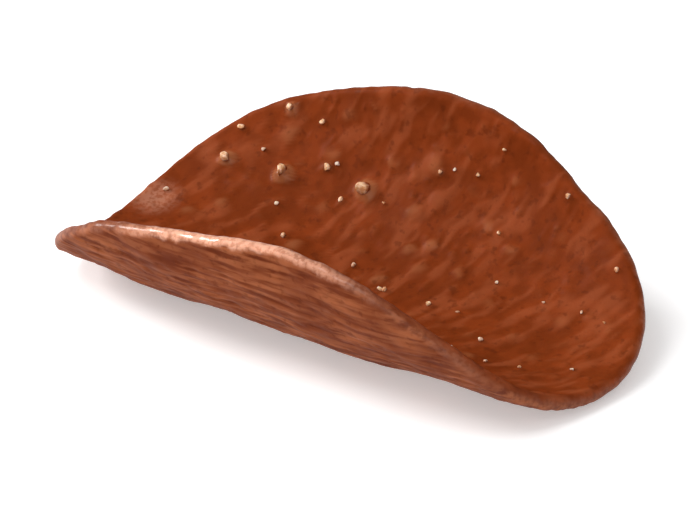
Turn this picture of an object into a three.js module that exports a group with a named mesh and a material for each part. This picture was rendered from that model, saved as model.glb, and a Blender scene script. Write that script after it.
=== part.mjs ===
// A milk chocolate tuile: one thin oval sheet, studded with crisp pieces and curved over a round mould
// like a roof tile. It lies on its back with the hollow up. Millimetres, +Z up, +X along the bend line.

import * as THREE from 'three';
import { mergeVertices } from 'three/addons/utils/BufferGeometryUtils.js';

// the flat sheet, before it is curved
const meanRadius = 29;
const ovalShare = 0.089; // how much longer and narrower than round the outline is
const ovalTurn = THREE.MathUtils.degToRad(-12.8); // the oval's long way, turned from the bend line
const thickness = 1.5;
const edgeRound = thickness / 2; // the rim is a half round
const outlineWobble = [ // slow waves of the rim, as shares of the radius
  { waves: 3, share: 0.008, turn: -2.4 },
  { waves: 4, share: 0.008, turn: -0.8 },
  { waves: 5, share: 0.015, turn: 0.52 },
  { waves: 6, share: 0.006, turn: -1.2 },
  { waves: 11, share: 0.002, turn: 0.3 },
];

// the curve that the mould gives it
const mouldRadius = 19.1; // to the middle of the sheet
const lengthRadius = 540; // it also rises a little towards both ends of the bend line
const restDepth = 0.2; // how far the sheet is flattened where it lies on the mould's table

// slow unevenness of the whole sheet, both faces together
const sheetWaves = [
  { height: 0.14, lengthU: 23, lengthV: 31, turn: -1.4 },
  { height: 0.09, lengthU: 13, lengthV: -17, turn: 1.9 },
];

// crisp pieces that lift the chocolate: a few that stand out, and the rest spread on a spiral
const standingOut = [
  { u: -24.3, v: 13.3, radius: 1.7, height: 0.4 },
  { u: -17.4, v: 13.8, radius: 1.7, height: 0.38 },
  { u: -8.2, v: 15.1, radius: 1.9, height: 0.44 },
  { u: -19.6, v: 20.6, radius: 1.4, height: 0.32 },
];
const crispCount = 110;
const crispReach = 0.94; // share of the radius that they fill
const crispScatter = 1.3; // how far one strays from the spiral
const crispRadius = { least: 1.3, most: 1.9 };
const crispHeight = { least: 0.1, most: 0.26 };
const backShare = 0.35; // how much of a crisp piece shows on the underside
const goldenAngle = Math.PI * (3 - Math.sqrt(5));

// the mesh: cells across the sheet, and steps round the rim
const cellsAcross = 46;
const rimSteps = 4;

const milkChocolate = new THREE.MeshStandardMaterial({
  name: 'milk_chocolate',
  color: 0x86431f,
  roughness: 0.42,
  metalness: 0,
});

// a number from 0 to 1 that looks random and is the same every time
function chance(index, salt) {
  const wild = Math.sin(index * 12.9898 + salt * 78.233) * 43758.5453;
  return wild - Math.floor(wild);
}

const between = (range, share) => range.least + (range.most - range.least) * share;

// the radius of the flat outline at an angle from the bend line
function outlineRadius(angle) {
  const oval = 1 + ovalShare * Math.cos(2 * (angle - ovalTurn));
  const wobble = outlineWobble.reduce((sum, w) => sum + w.share * Math.sin(w.waves * angle + w.turn), 0);
  return meanRadius * (oval + wobble);
}

// a cell corner of a square from -1 to 1, moved to a circle of radius 1 with every cell kept the same size
function squareToCircle(x, y) {
  if (x === 0 && y === 0) return { reach: 0, angle: 0 };
  if (Math.abs(x) > Math.abs(y)) {
    return { reach: Math.abs(x), angle: (Math.PI / 4) * (y / x) + (x < 0 ? Math.PI : 0) };
  }
  return { reach: Math.abs(y), angle: Math.PI / 2 - (Math.PI / 4) * (x / y) + (y < 0 ? Math.PI : 0) };
}

function crispPieces() {
  const spread = Array.from({ length: crispCount }, (_, k) => {
    const angle = k * goldenAngle;
    const reach = crispReach * Math.sqrt((k + 0.5) / crispCount) * (outlineRadius(angle) - edgeRound);
    return {
      u: reach * Math.cos(angle) + crispScatter * (2 * chance(k, 1) - 1),
      v: reach * Math.sin(angle) + crispScatter * (2 * chance(k, 2) - 1),
      radius: between(crispRadius, chance(k, 3)),
      height: between(crispHeight, chance(k, 4)),
    };
  });
  return [...standingOut, ...spread];
}

// how high the crisp pieces lift the chocolate at a point: the tallest one there, as a smooth dome
function crispLift(pieces, u, v) {
  let lift = 0;
  for (const piece of pieces) {
    const near = ((u - piece.u) ** 2 + (v - piece.v) ** 2) / piece.radius ** 2;
    if (near < 1) lift = Math.max(lift, piece.height * (1 - near) ** 2);
  }
  return lift;
}

function sheetWave(u, v) {
  return sheetWaves.reduce(
    (sum, w) => sum + w.height * Math.sin(2 * Math.PI * (u / w.lengthU + v / w.lengthV) + w.turn),
    0,
  );
}

// a point of the flat sheet, at a height above its middle, carried onto the mould
function curve(u, v, height) {
  const turn = v / mouldRadius;
  const radius = mouldRadius - height;
  const rise = (u * u) / (2 * lengthRadius);
  return [u, radius * Math.sin(turn), mouldRadius + rise - radius * Math.cos(turn)];
}

// the slab's cells are spread over the oval, its edge is rounded, its faces are uneven, and it is curved
function tuileGeometry() {
  const slab = new THREE.BoxGeometry(2, 2, 1, cellsAcross, cellsAcross, rimSteps);
  slab.deleteAttribute('normal');
  slab.deleteAttribute('uv');
  slab.clearGroups();
  const geometry = mergeVertices(slab);
  const pieces = crispPieces();
  const position = geometry.attributes.position;
  for (let i = 0; i < position.count; i += 1) {
    const { reach, angle } = squareToCircle(position.getX(i), position.getY(i));
    const side = Math.PI * position.getZ(i); // from -90 degrees underneath, over the rim, to +90 on top
    const radius = reach * (outlineRadius(angle) - edgeRound) + edgeRound * Math.cos(side);
    const u = radius * Math.cos(angle);
    const v = radius * Math.sin(angle);
    const lift = crispLift(pieces, u, v) * (side > 0 ? Math.sin(side) : backShare * Math.sin(side));
    const [x, y, z] = curve(u, v, (thickness / 2) * Math.sin(side) + sheetWave(u, v) + lift);
    position.setXYZ(i, x, y, z);
  }
  layFlat(geometry);
  geometry.computeVertexNormals();
  return geometry;
}

// the sheet is set down on its lowest line, which is pressed flat, and centred over the origin
function layFlat(geometry) {
  const position = geometry.attributes.position;
  const lowest = -thickness / 2 + restDepth;
  for (let i = 0; i < position.count; i += 1) {
    position.setZ(i, Math.max(0, position.getZ(i) - lowest));
  }
  geometry.computeBoundingBox();
  const middle = geometry.boundingBox.getCenter(new THREE.Vector3());
  geometry.translate(-middle.x, -middle.y, 0);
}

function makeTuile() {
  const tuile = new THREE.Mesh(tuileGeometry(), milkChocolate);
  tuile.name = 'tuile';
  return tuile;
}

const part = new THREE.Group();
part.add(makeTuile());

export default part;
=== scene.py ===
# A milk chocolate tuile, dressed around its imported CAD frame.
# The frame's own axes: +X along the bend line, +Z up, the tuile lying on its back with the hollow up.

import math

import bpy
import numpy as np
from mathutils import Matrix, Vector


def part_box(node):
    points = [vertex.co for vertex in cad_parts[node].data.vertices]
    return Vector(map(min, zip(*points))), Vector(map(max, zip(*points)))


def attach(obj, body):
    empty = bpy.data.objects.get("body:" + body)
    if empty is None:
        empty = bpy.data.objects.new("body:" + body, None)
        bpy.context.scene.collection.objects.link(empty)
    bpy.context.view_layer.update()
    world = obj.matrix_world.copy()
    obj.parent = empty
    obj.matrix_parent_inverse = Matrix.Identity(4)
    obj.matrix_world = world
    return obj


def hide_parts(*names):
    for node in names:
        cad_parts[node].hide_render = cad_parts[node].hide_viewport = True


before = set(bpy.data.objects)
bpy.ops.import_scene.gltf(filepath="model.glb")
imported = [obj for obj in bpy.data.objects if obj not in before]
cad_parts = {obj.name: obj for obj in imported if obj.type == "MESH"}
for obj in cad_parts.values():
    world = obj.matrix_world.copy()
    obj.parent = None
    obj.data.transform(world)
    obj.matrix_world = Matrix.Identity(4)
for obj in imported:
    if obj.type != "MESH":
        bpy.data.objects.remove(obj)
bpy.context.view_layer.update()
print("frame loaded:", ", ".join(sorted(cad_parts)))

mm = 0.001  # shapes are worked out in millimetres and put into Blender in metres
latticeSize = 128  # points each way in the noise's lattice, after which it repeats


def chance(index, salt):  # the CAD's own draw, from 0 to 1: a large sine's digits after the point
    wild = np.sin(index * 12.9898 + salt * 78.233) * 43758.5453
    return wild - np.floor(wild)


def between(span, share):  # the least, plus a share of the way to the most
    return span[0] + (span[1] - span[0]) * share


def smoothStep(value, low, high):  # 0 below low, 1 above high, and 3 t squared minus 2 t cubed between
    share = np.clip((value - low) / (high - low), 0, 1)
    return share * share * (3 - 2 * share)


def smoothBand(value, start, full, fading, end):  # a smooth step up, times one that goes down again
    return smoothStep(value, start, full) * (1 - smoothStep(value, fading, end))


def softNoise(x, y, seed):
    # random heights from -1 to 1 on a unit lattice, joined by smooth steps both ways
    lattice = np.random.default_rng(seed).uniform(-1, 1, (latticeSize, latticeSize))
    column, row = np.floor(x).astype(int), np.floor(y).astype(int)
    along, across = smoothStep(x - column, 0, 1), smoothStep(y - row, 0, 1)
    left, right = column % latticeSize, (column + 1) % latticeSize
    near, far = row % latticeSize, (row + 1) % latticeSize
    nearHeight = lattice[left, near] * (1 - along) + lattice[right, near] * along
    farHeight = lattice[left, far] * (1 - along) + lattice[right, far] * along
    return nearHeight * (1 - across) + farHeight * across


# the sheet as the CAD has it, in millimetres: while it is flat, u runs along the bend line and v across it
sheet = {
    "meanRadius": 29.0,
    "ovalShare": 0.089,  # how much longer and narrower than round
    "ovalTurn": math.radians(-12.8),  # the long way, turned from the bend line
    "edgeRound": 0.75,  # half the sheet's thickness
    "rimWaves": [  # waves, share, turn
        (3, 0.008, -2.4),
        (4, 0.008, -0.8),
        (5, 0.015, 0.52),
        (6, 0.006, -1.2),
        (11, 0.002, 0.3),
    ],
    "mouldRadius": 19.1,  # to the middle of the sheet
    "lengthRadius": 540.0,  # it also rises a little towards both ends of the bend line
    "restDepth": 0.2,  # how far it is flattened where it lies
    "slowWaves": [  # height, length along, length across, turn
        (0.14, 23.0, 31.0, -1.4),
        (0.09, 13.0, -17.0, 1.9),
    ],
    "cells": 196,  # of the mesh, across each face
    "rimSteps": 10,  # of the mesh, round the rim
}


def outlineRadius(angle):  # mean radius times one plus the oval's share and the rim's waves
    shape = 1 + sheet["ovalShare"] * np.cos(2 * (angle - sheet["ovalTurn"]))
    for waves, share, turn in sheet["rimWaves"]:
        shape = shape + share * np.sin(waves * angle + turn)
    return sheet["meanRadius"] * shape


def squareToCircle(x, y):
    # the larger of the two sides is the reach, and their ratio is the angle within a quarter
    wide = np.abs(x) > np.abs(y)
    safeX, safeY = np.where(x == 0, 1, x), np.where(y == 0, 1, y)
    angle = np.where(
        wide,
        math.pi / 4 * y / safeX + np.where(x < 0, math.pi, 0),
        math.pi / 2 - math.pi / 4 * x / safeY + np.where(y < 0, math.pi, 0),
    )
    return np.maximum(np.abs(x), np.abs(y)), angle


def curve(u, v, height):
    # wrapped round the mould: the turn is v over the radius, and height shortens the radius
    turn = v / sheet["mouldRadius"]
    radius = sheet["mouldRadius"] - height
    lowest = -sheet["edgeRound"] + sheet["restDepth"]
    rise = u**2 / (2 * sheet["lengthRadius"])
    z = np.maximum(0, sheet["mouldRadius"] + rise - radius * np.cos(turn) - lowest)
    return np.stack([u, radius * np.sin(turn), z], -1)


def sheetWave(u, v):  # the sum of the slow waves, each a sine of its share of a length along and across
    return sum(
        height * np.sin(2 * math.pi * (u / along + v / across) + turn)
        for height, along, across, turn in sheet["slowWaves"]
    )


# crisp pieces under the chocolate, the same ones as the CAD's, in millimetres
crisps = {
    "standingOut": [  # u, v, radius, height
        (-24.3, 13.3, 1.7, 0.40),
        (-17.4, 13.8, 1.7, 0.38),
        (-8.2, 15.1, 1.9, 0.44),
        (-19.6, 20.6, 1.4, 0.32),
    ],
    "count": 110,
    "reach": 0.94,  # share of the outline's radius that they fill
    "scatter": 1.3,  # how far one strays from the spiral
    "radius": (1.3, 1.9),
    "height": (0.10, 0.26),
    "backShare": 0.35,  # how much of one shows on the back
}


def crispList():
    # the ones that stand out, then one every golden angle along a spiral, as u, v, radius, height
    index = np.arange(crisps["count"])
    angle = index * math.pi * (3 - math.sqrt(5))
    reach = crisps["reach"] * np.sqrt((index + 0.5) / crisps["count"])
    reach = reach * (outlineRadius(angle) - sheet["edgeRound"])
    u = reach * np.cos(angle) + crisps["scatter"] * (2 * chance(index, 1) - 1)
    v = reach * np.sin(angle) + crisps["scatter"] * (2 * chance(index, 2) - 1)
    radius = between(crisps["radius"], chance(index, 3))
    height = between(crisps["height"], chance(index, 4))
    return crisps["standingOut"] + list(zip(u, v, radius, height))


def scatterList(count, radius, height, seed, clearRim=1.2):
    # spots spread evenly over the oval, as u, v, radius, height: the way out is the root of an even draw
    draw = np.random.default_rng(seed)
    angle = draw.uniform(0, 2 * math.pi, count)
    reach = np.sqrt(draw.uniform(0, 1, count)) * (outlineRadius(angle) - clearRim)
    radii, heights = draw.uniform(*radius, count), draw.uniform(*height, count)
    return list(zip(reach * np.cos(angle), reach * np.sin(angle), radii, heights))


def domes(u, v, spots):
    # the tallest dome at a point: height times (1 - distance squared over radius squared) squared
    lift = np.zeros_like(u)
    for spotU, spotV, radius, height in spots:
        near = ((u - spotU) ** 2 + (v - spotV) ** 2) / radius**2
        lift = np.maximum(lift, height * np.clip(1 - near, 0, 1) ** 2)
    return lift


# grains that show on the hollow side, in millimetres: caramel on the crisp pieces, and a pinch of salt
grains = {
    "caramel": {
        "placed": [  # u, v, size
            (-24.2, 13.3, 1.2),
            (-17.5, 13.9, 1.6),
            (-8.1, 15.2, 1.65),
            (-19.6, 20.8, 0.9),
            (-10.2, 13.4, 0.7),
        ],
        "count": 30,
        "size": (0.40, 0.80),  # across
        "square": 2.3,  # 2 is a ball, more is squarer
        "cuts": 7,  # broken faces
        "seed": 51,
        "material": "crushedCaramel",
        "colours": ("#f3cba6", "#cc9263"),  # light and dark
        "shader": {"Roughness": 0.25, "IOR": 1.50, "Subsurface Weight": 0.35},
    },
    "salt": {
        "placed": [(-28.4, 7.6, 0.55), (-4.4, 6.7, 0.5), (-12.4, 16.8, 0.45)],
        "count": 20,
        "size": (0.28, 0.50),
        "square": 5.0,
        "cuts": 2,
        "seed": 52,
        "material": "seaSalt",
        "colours": ("#f0d8c2", "#d6ab8a"),
        "shader": {"Roughness": 0.20, "IOR": 1.54, "Subsurface Weight": 0.30},
    },
    "cutDistance": (0.45, 0.8),  # of a broken face from the middle, as a share of the radius
    "stretch": (0.8, 1.2),  # each way
    "sunk": 0.55,  # share of a grain that is below the mound of chocolate that holds it
    "moundRadius": 0.95,  # of that mound, as shares of the grain's size
    "moundHeight": 0.30,
    "bareFrom": (-0.1, 0.45),  # shares of the radius between which the chocolate that clings to it ends
    "bareRagged": 0.25,
    "cloudSize": 0.5,  # of the light and dark inside a grain
    "cloudLimits": (0.4, 0.62),  # noise values that they run between
    "inside": {  # how far red light goes into a grain, and the shares that red, green and blue go
        "Subsurface Scale": 0.4 * mm,
        "Subsurface Radius": (1.0, 0.6, 0.35),
    },
    "bump": {"Strength": 0.3, "Distance": 0.05 * mm},
}


def grainSpots(kind):  # the placed grains and the scattered ones, as rows of u, v, size
    spread = scatterList(kind["count"], kind["size"], (0, 1), kind["seed"])
    return np.array(kind["placed"] + [spot[:3] for spot in spread])


# what is too fine for the CAD, in millimetres
fineRelief = {
    "crumbs": {"count": 420, "radius": (0.45, 0.95), "height": (0.05, 0.17), "seed": 21},
    "pits": {"count": 90, "radius": (0.16, 0.42), "height": (0.05, 0.14), "seed": 22},  # popped bubbles
    "spreadHeight": 0.042,  # of the streaks that the spreading leaves on the hollow side
    "spreadSlant": 0.35,  # of them, from straight across the bend
    "foldHeight": 0.10,  # of the folds and streaks that the mould leaves on the back
    "foldSpacing": 1.45,
    "foldShare": 0.55,  # of that height, for the folds and for the streaks
    "foldStrength": 0.5,  # on average, of the folds against the streaks
    "mouldSlants": (0.72, -0.39),  # of the long and the short streaks, from the bend line
    "nickPower": 12,  # of the reach, so that the nicks stay near the rim
    "noises": {  # height or share, spacing the first way, spacing the second way, seed
        "warpAlong": (0.35, 0.9, 0.9, 11),  # how ragged the crisp pieces and crumbs are
        "warpAcross": (0.35, 0.9, 0.9, 12),
        "spreadSway": (0.5, 2.4, 2.4, 16),
        "spreadLong": (1.0, 1.25, 3.8, 13),
        "spreadShort": (0.7, 0.6, 1.7, 14),
        "foldSway": (0.9, 4.0, 2.2, 31),
        "foldRipple": (0.4, 1.6, 1.0, 32),
        "foldFade": (0.7, 2.6, 1.6, 33),
        "mouldLong": (1.0, 2.4, 0.8, 35),
        "mouldShort": (0.6, 1.3, 0.65, 36),
        "hollowGrain": (0.014, 0.45, 0.45, 15),  # coarser than the real grain, which wouldn't show
        "backGrain": (0.014, 0.5, 0.4, 34),
        "rimDents": (0.085, 0.9, 0.9, 45),
        # the next two: the ragged edge of the painted rim highlight's band, and its patches
        "rimBandEdge": (0.22, 0.8, 0.8, 46),
        "patchyNoise": (0.12, 0.55, 0.55, 44),
    },
    "rimNoises": {  # height or share, circle's radius in spacings of the lattice, seed
        "nicks": (0.13, 9.6, 41),  # about 3 mm apart
        "smallNicks": (0.065, 28.8, 42),  # about 1 mm apart
        # how the painted rim highlight varies round the rim
        "highlightNoise": (0.06, 4.5, 43),
    },
}


def reliefNoise(name, x, y, shift=0):
    # height times the noise of a place over the spacing, moved on by shift
    height, firstSpacing, secondSpacing, seed = fineRelief["noises"][name]
    return height * softNoise(x / firstSpacing, y / secondSpacing + shift, seed)


def rimNoise(name, angle):
    # height times the noise along a circle round the lattice's middle, so that it closes
    height, radius, seed = fineRelief["rimNoises"][name]
    middle = latticeSize / 2
    return height * softNoise(middle + radius * np.cos(angle), middle + radius * np.sin(angle), seed)


def hollowRelief(u, v):
    # crisp pieces, crumbs and the mounds under grains, plus the streaks of the spreading and a fine grain
    warpedU = u + reliefNoise("warpAlong", u, v)
    warpedV = v + reliefNoise("warpAcross", u, v)
    crumbs = scatterList(**fineRelief["crumbs"])
    pieces = np.maximum(domes(warpedU, warpedV, crispList()), domes(warpedU, warpedV, crumbs))
    spots = np.concatenate([grainSpots(grains["caramel"]), grainSpots(grains["salt"])])
    wide, tall = grains["moundRadius"], grains["moundHeight"]
    pieces = pieces + domes(u, v, [(*spot[:2], wide * spot[2], tall * spot[2]) for spot in spots])
    # it was spread across the bend, a little aslant: long soft streaks over shorter ones
    slant = fineRelief["spreadSlant"]
    along, across = v + slant * u, u - slant * v + reliefNoise("spreadSway", u, v)
    streaks = reliefNoise("spreadLong", across, along) + reliefNoise("spreadShort", across, along)
    lift = pieces + fineRelief["spreadHeight"] * streaks + reliefNoise("hollowGrain", u, v)
    return lift, pieces, streaks


def backRelief(u, v):
    # low crisp pieces, plus wavy folds along the bend line that fade in and out, streaks and a fine grain,
    # less the pits
    lift = crisps["backShare"] * domes(u, v, crispList())
    phase = v / fineRelief["foldSpacing"] + reliefNoise("foldSway", u, v) + reliefNoise("foldRipple", u, v)
    strength = np.clip(fineRelief["foldStrength"] + reliefNoise("foldFade", u, v), 0, 1)
    longSlant, shortSlant = fineRelief["mouldSlants"]
    streaks = reliefNoise("mouldLong", u + longSlant * v, v)
    streaks += reliefNoise("mouldShort", u + shortSlant * v, v)
    folds = fineRelief["foldShare"] * (np.sin(2 * math.pi * phase) * strength + streaks)
    lift += fineRelief["foldHeight"] * folds - domes(u, v, scatterList(**fineRelief["pits"]))
    return lift + reliefNoise("backGrain", u, v), folds


# where the chocolate looks different: the values that a mask rises between, or rises and falls between
looks = {
    "back": (-0.6, 0.6),  # sine of the side, 0 at the middle of the rim
    "foldCrest": (-0.9, 1.1),  # shares of foldHeight
    "spreadStreak": (-0.1, 1.1),  # shares of spreadHeight
    "crispTopAndGlint": (0.08, 0.36),  # millimetres that a piece stands up, for its lighter top: thin chocolate over the crisp, and a painted glint
    "crispGloss": (0.14, 0.34),
    "glossShares": (0.2, 0.2, 0.6),  # on the crisp pieces, all round the rim, and more on the stretch where the rim highlight is painted
    "highlightDegrees": (-124, -101, -92, -52),  # of the rim where the highlight is painted lightest, as degrees from the bend line
    "rimBand": (0.0, 0.65, 1.25, 1.95),  # millimetres round the edge, from where the back ends
    "highlightShares": (0.05, 1.05),  # of the painted highlight: all round the rim, and more on its stretch
    "patchiness": 0.92,  # average share of the painted rim highlight and the pale spot that a patchy noise leaves
    "paleSpots": [(-28.8, 6.2, 3.4, 0.22)],  # paler spots in the hollow: u, v, radius, share
}


def sheetPoint(reach, angle, side):
    # reach runs from 0 in the middle to 1 at the rim, and side from -90 degrees on the back, over the rim,
    # to +90 in the hollow: the radius is the outline's share plus the rim's round
    outline = outlineRadius(angle) - sheet["edgeRound"]
    nicks = (rimNoise("nicks", angle) + rimNoise("smallNicks", angle)) * reach ** fineRelief["nickPower"]
    radius = reach * (outline + nicks) + sheet["edgeRound"] * np.cos(side)
    u, v = radius * np.cos(angle), radius * np.sin(angle)
    hollow, pieces, streaks = hollowRelief(u, v)
    back, folds = backRelief(u, v)
    upward = np.sin(side)
    dents = reliefNoise("rimDents", u, v, upward) * np.cos(side)
    lift = np.where(upward > 0, hollow, back) * upward + dents
    points = curve(u, v, sheet["edgeRound"] * upward + sheetWave(u, v) + lift)

    backShare = 1 - smoothStep(upward, *looks["back"])
    # millimetres round the edge: below 0 on the back, 0 to 2.4 over the rim, more in the hollow
    around = sheet["edgeRound"] * (side + math.pi / 2) + (1 - reach) * outline * np.sign(side)
    # the band round the rim that carries the painted highlight and the gloss
    rim = smoothBand(around + reliefNoise("rimBandEdge", u, v, upward), *looks["rimBand"])
    turn = np.degrees((angle + math.pi) % (2 * math.pi) - math.pi)
    # a painted highlight on the rim, lightest on one stretch and broken up by a patchy noise
    leastHighlight, moreHighlight = looks["highlightShares"]
    highlightStretch = moreHighlight * smoothBand(turn, *looks["highlightDegrees"]) + rimNoise("highlightNoise", angle)
    patchiness = looks["patchiness"] + reliefNoise("patchyNoise", u, v, 2 * upward)
    rimHighlight = rim * np.clip((leastHighlight + highlightStretch) * patchiness, 0, 1)
    # a paler spot in the hollow, in the rim's lighter colour
    paleSpot = (1 - backShare) * domes(u, v, looks["paleSpots"]) * patchiness
    crispGloss, rimGloss, highlightGloss = looks["glossShares"]
    glossyRim = rim * np.clip(rimGloss + highlightGloss * highlightStretch, 0, 1)
    glossyCrisps = crispGloss * (1 - backShare) * smoothStep(pieces, *looks["crispGloss"])
    return points, {
        "backShare": backShare,
        "foldCrest": backShare * smoothStep(folds, *looks["foldCrest"]),
        "spreadStreak": (1 - backShare) * smoothStep(streaks, *looks["spreadStreak"]),
        # lighter crisp tops: thin chocolate over the crisp pieces, and partly painted glints
        "crispTopAndGlint": (1 - backShare) * smoothStep(pieces, *looks["crispTopAndGlint"]),
        # the painted rim highlight, and the paler spot in the hollow
        "rimHighlightAndPaleSpot": np.maximum(rimHighlight, paleSpot),
        "gloss": np.maximum(glossyRim, glossyCrisps),
    }


def tuileMesh():
    # a square of cells on each face, spread over the oval with equal areas, and joined at the rim by a
    # half round of rings
    cells, rimSteps = sheet["cells"], sheet["rimSteps"]
    line = np.linspace(-1, 1, cells + 1)
    x, y = np.meshgrid(line, line, indexing="ij")
    faceReach, faceAngle = squareToCircle(x.ravel(), y.ravel())
    back = np.arange((cells + 1) ** 2).reshape(cells + 1, cells + 1)
    front = back + back.size
    loop = np.concatenate([back[:-1, 0], back[-1, :-1], back[:0:-1, -1], back[0, :0:-1]])
    sides = np.linspace(-math.pi / 2, math.pi / 2, rimSteps + 1)[1:-1]
    reach = np.concatenate([faceReach, faceReach, np.ones(len(loop) * len(sides))])
    angle = np.concatenate([faceAngle, faceAngle, np.tile(faceAngle[loop], len(sides))])
    faceSide = np.repeat([-math.pi / 2, math.pi / 2], back.size)
    points, layers = sheetPoint(reach, angle, np.concatenate([faceSide, np.repeat(sides, len(loop))]))
    corners = lambda g: np.stack([g[:-1, :-1], g[1:, :-1], g[1:, 1:], g[:-1, 1:]], -1).reshape(-1, 4)
    rings = [loop] + [2 * back.size + k * len(loop) + np.arange(len(loop)) for k in range(len(sides))]
    rings.append(loop + back.size)
    walls = [
        np.stack([low, np.roll(low, -1), np.roll(high, -1), high], -1)
        for low, high in zip(rings[:-1], rings[1:])
    ]
    return points, np.concatenate([corners(front), corners(back)[:, ::-1]] + walls), layers


def grainBall():  # a 20-sided ball with each face cut in four: 42 points and 80 faces
    golden = (1 + math.sqrt(5)) / 2
    points = [(-1, golden, 0), (1, golden, 0), (-1, -golden, 0), (1, -golden, 0)]
    points += [(0, -1, golden), (0, 1, golden), (0, -1, -golden), (0, 1, -golden)]
    points += [(golden, 0, -1), (golden, 0, 1), (-golden, 0, -1), (-golden, 0, 1)]
    faces = [(0, 11, 5), (0, 5, 1), (0, 1, 7), (0, 7, 10), (0, 10, 11), (1, 5, 9), (5, 11, 4)]
    faces += [(11, 10, 2), (10, 7, 6), (7, 1, 8), (3, 9, 4), (3, 4, 2), (3, 2, 6), (3, 6, 8)]
    faces += [(3, 8, 9), (4, 9, 5), (2, 4, 11), (6, 2, 10), (8, 6, 7), (9, 8, 1)]
    halfway, cut = {}, []
    for face in faces:
        middles = []
        for a, b in zip(face, face[1:] + face[:1]):
            pair = (min(a, b), max(a, b))
            if pair not in halfway:
                halfway[pair] = len(points)
                points.append(tuple((p + q) / 2 for p, q in zip(points[a], points[b])))
            middles.append(halfway[pair])
        cut += [(face[0], middles[0], middles[2]), (face[1], middles[1], middles[0])]
        cut += [(face[2], middles[2], middles[1]), tuple(middles)]
    points = np.array(points)
    return points / np.linalg.norm(points, axis=1, keepdims=True), np.array(cut)


def grainMesh(kind):
    # each grain is the ball pulled towards a cube, cut flat by a few planes, stretched, turned, and set on
    # the hollow
    draw = np.random.default_rng(kind["seed"])
    ball, faces = grainBall()
    u, v, size = grainSpots(kind).T
    count = len(size)
    squared = ball / (np.abs(ball) ** kind["square"]).sum(1, keepdims=True) ** (1 / kind["square"])
    shape = np.repeat(squared[None], count, 0)
    for _ in range(kind["cuts"]):
        plane = draw.normal(size=(count, 1, 3))
        plane /= np.linalg.norm(plane, axis=2, keepdims=True)
        distance = draw.uniform(*grains["cutDistance"], (count, 1, 1))
        shape = shape - np.maximum((shape * plane).sum(2, keepdims=True) - distance, 0) * plane
    turns, _ = np.linalg.qr(draw.normal(size=(count, 3, 3)))
    turns[:, :, 0] *= np.sign(np.linalg.det(turns))[:, None]  # a mirror would turn the faces inwards
    shape = np.einsum("nij,nkj->nki", turns, shape * draw.uniform(*grains["stretch"], (count, 1, 3)))
    ragged = grains["bareRagged"]
    bare = shape[..., 2] + draw.uniform(-ragged, ragged, shape.shape[:2])
    bare = smoothStep(bare, *grains["bareFrom"])
    shape = shape * size[:, None, None] / 2
    relief = hollowRelief(u, v)[0]
    middle = sheet["edgeRound"] + sheetWave(u, v) + relief + (0.5 - grains["sunk"]) * size
    points = curve(u[:, None] + shape[..., 0], v[:, None] + shape[..., 1], middle[:, None] + shape[..., 2])
    allFaces = faces[None] + len(ball) * np.arange(count)[:, None, None]
    return points.reshape(-1, 3), allFaces.reshape(-1, 3), {"bare": bare.ravel()}


def makePiece(name, points, faces, layers, material, smooth=True):
    data = bpy.data.meshes.new(name)
    data.from_pydata(points * mm, [], faces.tolist())
    for layer, values in layers.items():
        attribute = data.attributes.new(layer, "FLOAT", "POINT")
        attribute.data.foreach_set("value", values.astype(np.float32))
    if smooth:
        data.shade_smooth()
    data.update()
    data.materials.append(material)
    piece = bpy.data.objects.new(name, data)
    bpy.context.scene.collection.objects.link(piece)
    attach(piece, "root")
    print(f"{name}: {len(faces) * (len(faces[0]) - 2)} triangles")
    return piece


def hexColour(text):  # an sRGB hex value turned to linear
    values = [int(text[i : i + 2], 16) / 255 for i in (1, 3, 5)]
    return [c / 12.92 if c <= 0.04045 else ((c + 0.055) / 1.055) ** 2.4 for c in values] + [1]


def newMaterial(name, *socketValues):  # a material with these values on its shader's own sockets
    material = bpy.data.materials.new(name)
    material.use_nodes = True
    shader = material.node_tree.nodes["Principled BSDF"]
    for values in socketValues:
        for socket, value in values.items():
            shader.inputs[socket].default_value = value
    return material, shader


def addNode(material, kind, settings, links):  # one node, its values and what feeds its inputs
    tree = material.node_tree
    node = tree.nodes.new(kind)
    for key, value in settings.items():
        if isinstance(key, str) and hasattr(node, key):
            setattr(node, key, value)
        else:
            node.inputs[key].default_value = value
    for socket, source in links.items():
        tree.links.new(source, node.inputs[socket])
    return node


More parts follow.
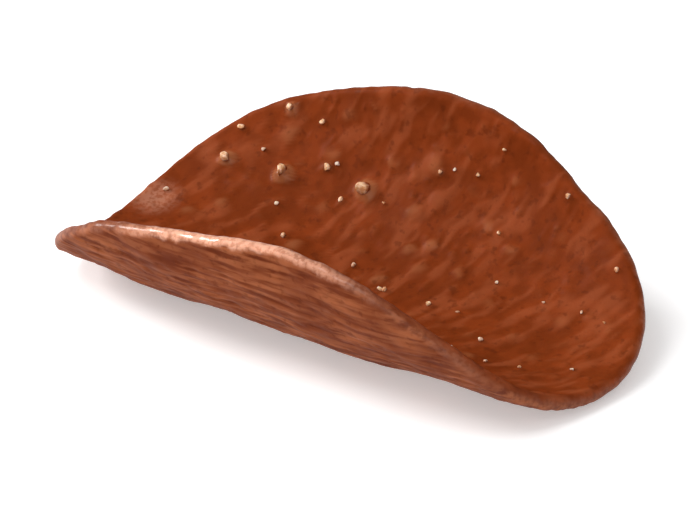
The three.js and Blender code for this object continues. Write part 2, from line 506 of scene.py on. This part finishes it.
# the chocolate's colours as sRGB, its patterns and its shader
chocolate = {
    "hollow": "#7c3311",
    # mm along the bend line, mm the other ways, detail, and the noise values where the mask is 0 and 1
    "patterns": {
        "blotches": (6.0, 6.0, 3, 0.36, 0.66),
        "mottle": (1.5, 1.5, 3, 0.38, 0.64),
        "cocoaSpecks": (0.9, 0.9, 2, 0.56, 0.72),  # the real ones are finer, and wouldn't show
        "satin": (1.6, 1.6, 3, 0.30, 0.70),
        # paler flecks in the painted rim highlight and the pale spot
        "paleFlecks": (0.5, 0.5, 2, 0.36, 0.60),
        "fibres": (5.0, 0.7, 3, 0.38, 0.64),  # fine streaks that the mould leaves on the back
    },
    "meshMasks": ["spreadStreak", "backShare", "foldCrest", "crispTopAndGlint", "rimHighlightAndPaleSpot", "gloss"],
    "layers": [  # each is laid over the ones before, where all its masks are, with this share at most
        (("blotches",), "#66280a", 0.6),
        (("mottle",), "#6a2a0b", 0.6),
        (("spreadStreak",), "#9a4f2e", 0.42),
        # lighter crisp tops: thin chocolate over the crisp pieces, and painted glints
        (("crispTopAndGlint",), "#a5653f", 0.55),
        (("backShare",), "#5a230c", 1.0),
        (("foldCrest",), "#7e4024", 0.75),
        (("backShare", "fibres"), "#a25d3a", 0.25),
        (("backShare", "fibres", "blotches"), "#ae6742", 0.4),
        (("cocoaSpecks",), "#4f1e08", 0.4),
        # a painted highlight round the rim, lighter still in flecks, and the paler spot in the hollow
        (("rimHighlightAndPaleSpot",), "#cb8c6f", 1.0),
        (("rimHighlightAndPaleSpot", "paleFlecks"), "#e0a68a", 1.0),
    ],
    "roughness": (0.46, 0.62),
    "shader": {
        "IOR": 1.47,  # cocoa butter
        "Specular IOR Level": 0.025,
        "Coat Roughness": 0.20,
        "Subsurface Weight": 0.12,
        "Subsurface Radius": (1.0, 0.45, 0.25),
        "Subsurface Scale": 0.5 * mm,  # how far red light goes into milk chocolate
    },
    "gritSize": 0.3,  # of cocoa and milk particles: the real ones are too fine to show
    "gritBump": {"Strength": 0.25, "Distance": 0.03 * mm},
}


def temperedMilkChocolate():
    # spread thin and cooled over a mould: satin and slightly mottled, streaked where it touched the mould,
    # and glossier on the rim and over the crisp pieces, where the cocoa butter ran smooth before it set
    # the rim's lighter colour is a painted highlight, and the crisp tops' lighter colour is partly painted
    # glints
    material, shader = newMaterial("temperedMilkChocolate", chocolate["shader"])
    tree = material.node_tree
    place = addNode(material, "ShaderNodeTexCoord", {}, {}).outputs["Object"]
    masks = {}
    for name, (along, across, detail, low, high) in chocolate["patterns"].items():
        stretch = {"Scale": (across / along, 1, 1)}
        spread = addNode(material, "ShaderNodeMapping", stretch, {"Vector": place}).outputs["Vector"]
        scale = {"Scale": 1 / (across * mm), "Detail": detail}
        noise = addNode(material, "ShaderNodeTexNoise", scale, {"Vector": spread}).outputs["Fac"]
        span = {"interpolation_type": "SMOOTHSTEP", "From Min": low, "From Max": high}
        masks[name] = addNode(material, "ShaderNodeMapRange", span, {"Value": noise}).outputs["Result"]
    for name in chocolate["meshMasks"]:
        masks[name] = addNode(material, "ShaderNodeAttribute", {"attribute_name": name}, {}).outputs["Fac"]

    colour = addNode(material, "ShaderNodeRGB", {}, {}).outputs["Color"]
    colour.default_value = hexColour(chocolate["hollow"])
    for names, overlay, most in chocolate["layers"]:
        share = masks[names[0]]
        for name in names[1:]:
            both = {0: share, 1: masks[name]}
            share = addNode(material, "ShaderNodeMath", {"operation": "MULTIPLY"}, both).outputs[0]
        atMost = {"operation": "MULTIPLY", 1: most}
        share = addNode(material, "ShaderNodeMath", atMost, {0: share}).outputs[0]
        mixed = {"data_type": "RGBA", 7: hexColour(overlay)}
        colour = addNode(material, "ShaderNodeMix", mixed, {0: share, 6: colour}).outputs[2]
    tree.links.new(colour, shader.inputs["Base Color"])

    span = {"To Min": chocolate["roughness"][0], "To Max": chocolate["roughness"][1]}
    satin = addNode(material, "ShaderNodeMapRange", span, {"Value": masks["satin"]})
    tree.links.new(satin.outputs["Result"], shader.inputs["Roughness"])
    tree.links.new(masks["gloss"], shader.inputs["Coat Weight"])

    scale = {"Scale": 1 / (chocolate["gritSize"] * mm), "Detail": 3}
    noise = addNode(material, "ShaderNodeTexNoise", scale, {"Vector": place}).outputs["Fac"]
    grit = addNode(material, "ShaderNodeBump", chocolate["gritBump"], {"Height": noise})
    tree.links.new(grit.outputs["Normal"], shader.inputs["Normal"])
    return material


def grainMaterial(kind):
    # boiled sugar or sea salt, crushed: glassy pieces, cloudy inside, and brown where chocolate clings
    material, shader = newMaterial(kind["material"], kind["shader"], grains["inside"])
    tree = material.node_tree
    light, dark = kind["colours"]
    place = addNode(material, "ShaderNodeTexCoord", {}, {}).outputs["Object"]
    scale = {"Scale": 1 / (grains["cloudSize"] * mm), "Detail": 2}
    noise = addNode(material, "ShaderNodeTexNoise", scale, {"Vector": place}).outputs["Fac"]
    low, high = grains["cloudLimits"]
    span = {"interpolation_type": "SMOOTHSTEP", "From Min": low, "From Max": high}
    share = addNode(material, "ShaderNodeMapRange", span, {"Value": noise}).outputs["Result"]
    mixed = {"data_type": "RGBA", 6: hexColour(light), 7: hexColour(dark)}
    colour = addNode(material, "ShaderNodeMix", mixed, {0: share}).outputs[2]
    bare = addNode(material, "ShaderNodeAttribute", {"attribute_name": "bare"}, {}).outputs["Fac"]
    coated = {"data_type": "RGBA", 6: hexColour(chocolate["hollow"])}
    colour = addNode(material, "ShaderNodeMix", coated, {0: bare, 7: colour}).outputs[2]
    tree.links.new(colour, shader.inputs["Base Color"])
    rough = addNode(material, "ShaderNodeBump", grains["bump"], {"Height": noise})
    tree.links.new(rough.outputs["Normal"], shader.inputs["Normal"])
    return material


print("working out the tuile's surface")
tuilePoints, tuileFaces, tuileLayers = tuileMesh()
low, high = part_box("tuile")
cadMiddle = np.array([low.x + high.x, low.y + high.y, 0]) / 2 / mm
shift = cadMiddle - (tuilePoints.min(0) + tuilePoints.max(0)) / 2
shift[2] = 0
tuilePoints += shift
material = temperedMilkChocolate()
tuile = makePiece("chocolateTuile", tuilePoints, tuileFaces, tuileLayers, material)
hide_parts("tuile")

print("scattering the grains")
for name in ("caramel", "salt"):
    points, faces, layers = grainMesh(grains[name])
    material = grainMaterial(grains[name])
    makePiece(name + "Grains", points + shift, faces, layers, material, smooth=False)

# the floor: a wide plain white sheet, a little bright of itself so that it stays white all over
ground = {
    "halfSize": 1.5,
    "drop": 0.02 * mm,  # below the tuile
    "shader": {
        "Base Color": (0.88, 0.88, 0.88, 1),
        "Roughness": 0.9,
        "Specular IOR Level": 0.1,
        "Emission Color": (1, 1, 1, 1),
        "Emission Strength": 0.35,
    },
}
half = ground["halfSize"]
floorCorners = [(-half, -half, 0), (half, -half, 0), (half, half, 0), (-half, half, 0)]
floorData = bpy.data.meshes.new("floor")
floorData.from_pydata(floorCorners, [], [(0, 1, 2, 3)])
floorData.materials.append(newMaterial("whitePaper", ground["shader"])[0])
floor = bpy.data.objects.new("floor", floorData)
floor.location.z = -ground["drop"]
bpy.context.scene.collection.objects.link(floor)
print("floor laid")

# light: a bright dome, a soft box overhead, a low one at the left that brings out the relief, and a wide
# weak one in front
studio = {
    "dome": 0.40,
    "lights": [  # name, place in metres, size, watts
        ("key", (-0.15, -0.45, 0.80), 0.40, 3.4),
        ("rake", (-0.85, -0.15, 0.38), 0.30, 7.0),
        ("front", (0.45, -0.85, 0.55), 0.90, 4.5),
    ],
}
world = bpy.data.worlds.new("dome")
world.use_nodes = True
world.node_tree.nodes["Background"].inputs["Color"].default_value = (1, 1, 1, 1)
world.node_tree.nodes["Background"].inputs["Strength"].default_value = studio["dome"]
bpy.context.scene.world = world
for name, place, size, watts in studio["lights"]:
    lamp = bpy.data.lights.new(name, "AREA")
    lamp.size, lamp.energy = size, watts
    lampObject = bpy.data.objects.new(name, lamp)
    lampObject.location = place
    lampObject.rotation_euler = (-Vector(place)).to_track_quat("-Z", "Y").to_euler()
    bpy.context.scene.collection.objects.link(lampObject)
print("lights set:", len(studio["lights"]), "and the dome")

# camera: the photograph looks down 25 degrees, from 38 degrees round towards the tuile's right end
view = {
    "azimuth": math.radians(37.8),
    "elevation": math.radians(25.2),
    "lens": 800.0,  # long, because the photograph shows no perspective that can be measured
    "sensor": 36.0,
    "frameWidth": 68.0 * mm,  # what the picture's width covers at the tuile
    "target": (0.0, 0.0, 6.5 * mm),
    "clip": (0.01, 20.0),  # nearest and farthest that it sees, in metres
}
camera = bpy.data.cameras.new("camera")
camera.lens, camera.sensor_width = view["lens"], view["sensor"]
camera.clip_start, camera.clip_end = view["clip"]
cameraObject = bpy.data.objects.new("camera", camera)
azimuth, elevation = view["azimuth"], view["elevation"]
flat = math.cos(elevation)
away = Vector((math.sin(azimuth) * flat, -math.cos(azimuth) * flat, math.sin(elevation)))
distance = view["frameWidth"] * view["lens"] / view["sensor"]
cameraObject.location = Vector(view["target"]) + away * distance
cameraObject.rotation_euler = (-away).to_track_quat("-Z", "Y").to_euler()
bpy.context.scene.collection.objects.link(cameraObject)
bpy.context.scene.camera = cameraObject
bpy.context.scene.view_settings.view_transform = "Standard"
print("camera", round(distance, 3), "m away")
